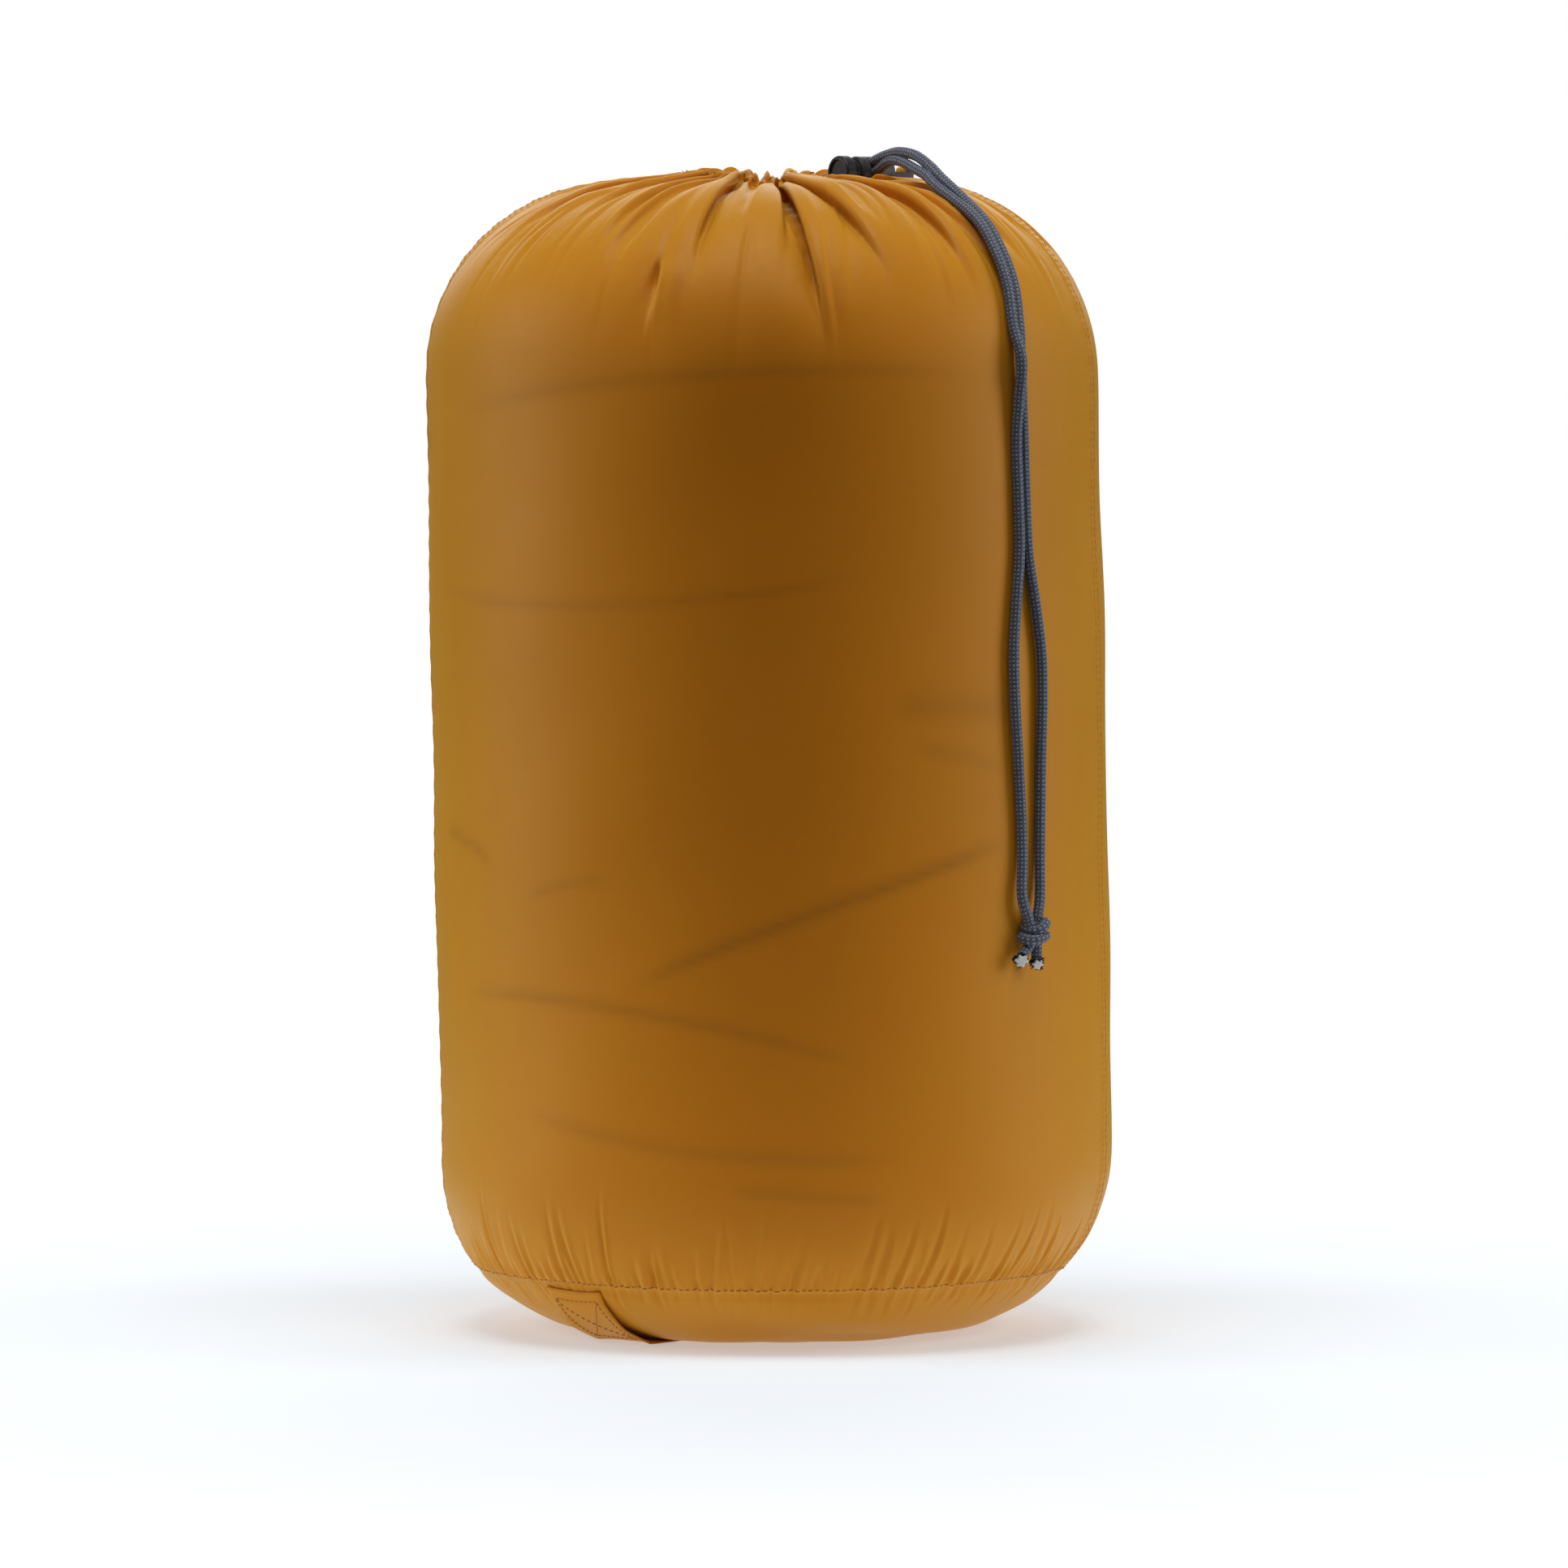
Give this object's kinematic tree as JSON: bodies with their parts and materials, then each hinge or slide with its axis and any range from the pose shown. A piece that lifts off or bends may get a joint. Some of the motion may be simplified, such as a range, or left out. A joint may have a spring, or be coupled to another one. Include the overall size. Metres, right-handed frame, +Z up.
{
  "type": "stuff sack",
  "caption": "Full cylindrical nylon stuff sack, mouth cinched by a drawcord and cord lock, cord ends hanging down one side, pull handle under the base.",
  "frame": {"origin": "centre of the base, on the ground", "axes": "+Z up along the sack's axis, -Y to the front, +X to the right as seen from the front"},
  "size_m": [0.2405, 0.24, 0.4237],
  "materials": {
    "shell_fabric": "golden mustard nylon taffeta with a faint sheen",
    "packed_fill": "dark packed quilted fabric",
    "thread": "fine mustard sewing thread",
    "cord": "slate grey braided cord",
    "cord_core": "melted white fibre",
    "lock_plastic": "fine-grained black moulded plastic",
    "spring_steel": "bright spring wire"
  },
  "bodies": {
    "sack": {"front_panel": "shell_fabric", "back_panel": "shell_fabric", "base_panel": "shell_fabric", "drawcord_casing": "shell_fabric", "stuffed_contents": "packed_fill", "base_seam_thread": "thread", "casing_thread": "thread", "left_seam_thread": "thread", "right_seam_thread": "thread", "handle_front_anchor": "shell_fabric", "handle_rear_anchor": "shell_fabric", "handle_front_stitching": "thread", "handle_rear_stitching": "thread", "tether_tab": "shell_fabric", "tether_bar_tack": "thread", "drawcord_loop": "cord", "drawcord_arch": "cord"},
    "cord_lock": {"lock_barrel": "lock_plastic", "lock_spring": "spring_steel"},
    "push_button": {"lock_button": "lock_plastic"},
    "cord_upper": {"drawcord_tail_upper": "cord"},
    "cord_middle": {"drawcord_tail_middle": "cord"},
    "cord_lower": {"drawcord_tail_lower": "cord", "drawcord_knot": "cord", "cord_core_tips": "cord_core"},
    "handle": {"grab_handle": "shell_fabric"}
  },
  "joints": [
    {"name": "lock_slide", "type": "slide", "parent": "sack", "child": "cord_lock", "axis": [0.5586, -0.7228, 0.4067], "range_m": [0, 0.0035]},
    {"name": "button_press", "type": "slide", "parent": "cord_lock", "child": "push_button", "axis": [0.7912, 0.6115, 0], "range_m": [0, 0.003], "stiffness_N_per_m": 150, "springref_m": -0.003, "deforming": ["lock_spring"]},
    {"name": "tail_lift", "type": "hinge", "parent": "sack", "child": "cord_upper", "pos_m": [0.09104, -0.08197, 0.346], "axis": [-0.6691, -0.7431, 0], "range_deg": [0, 80]},
    {"name": "tail_swing", "type": "hinge", "parent": "cord_upper", "child": "cord_middle", "pos_m": [0.09104, -0.08197, 0.275], "axis": [0.7431, -0.6691, 0], "range_deg": [-25, 25]},
    {"name": "tail_curl", "type": "hinge", "parent": "cord_middle", "child": "cord_lower", "pos_m": [0.09104, -0.08197, 0.212], "axis": [-0.6691, -0.7431, 0], "range_deg": [0, 80]},
    {"name": "handle_pull", "type": "slide", "parent": "sack", "child": "handle", "axis": [0, 0, -1], "range_m": [0, 0.035]}
  ]
}
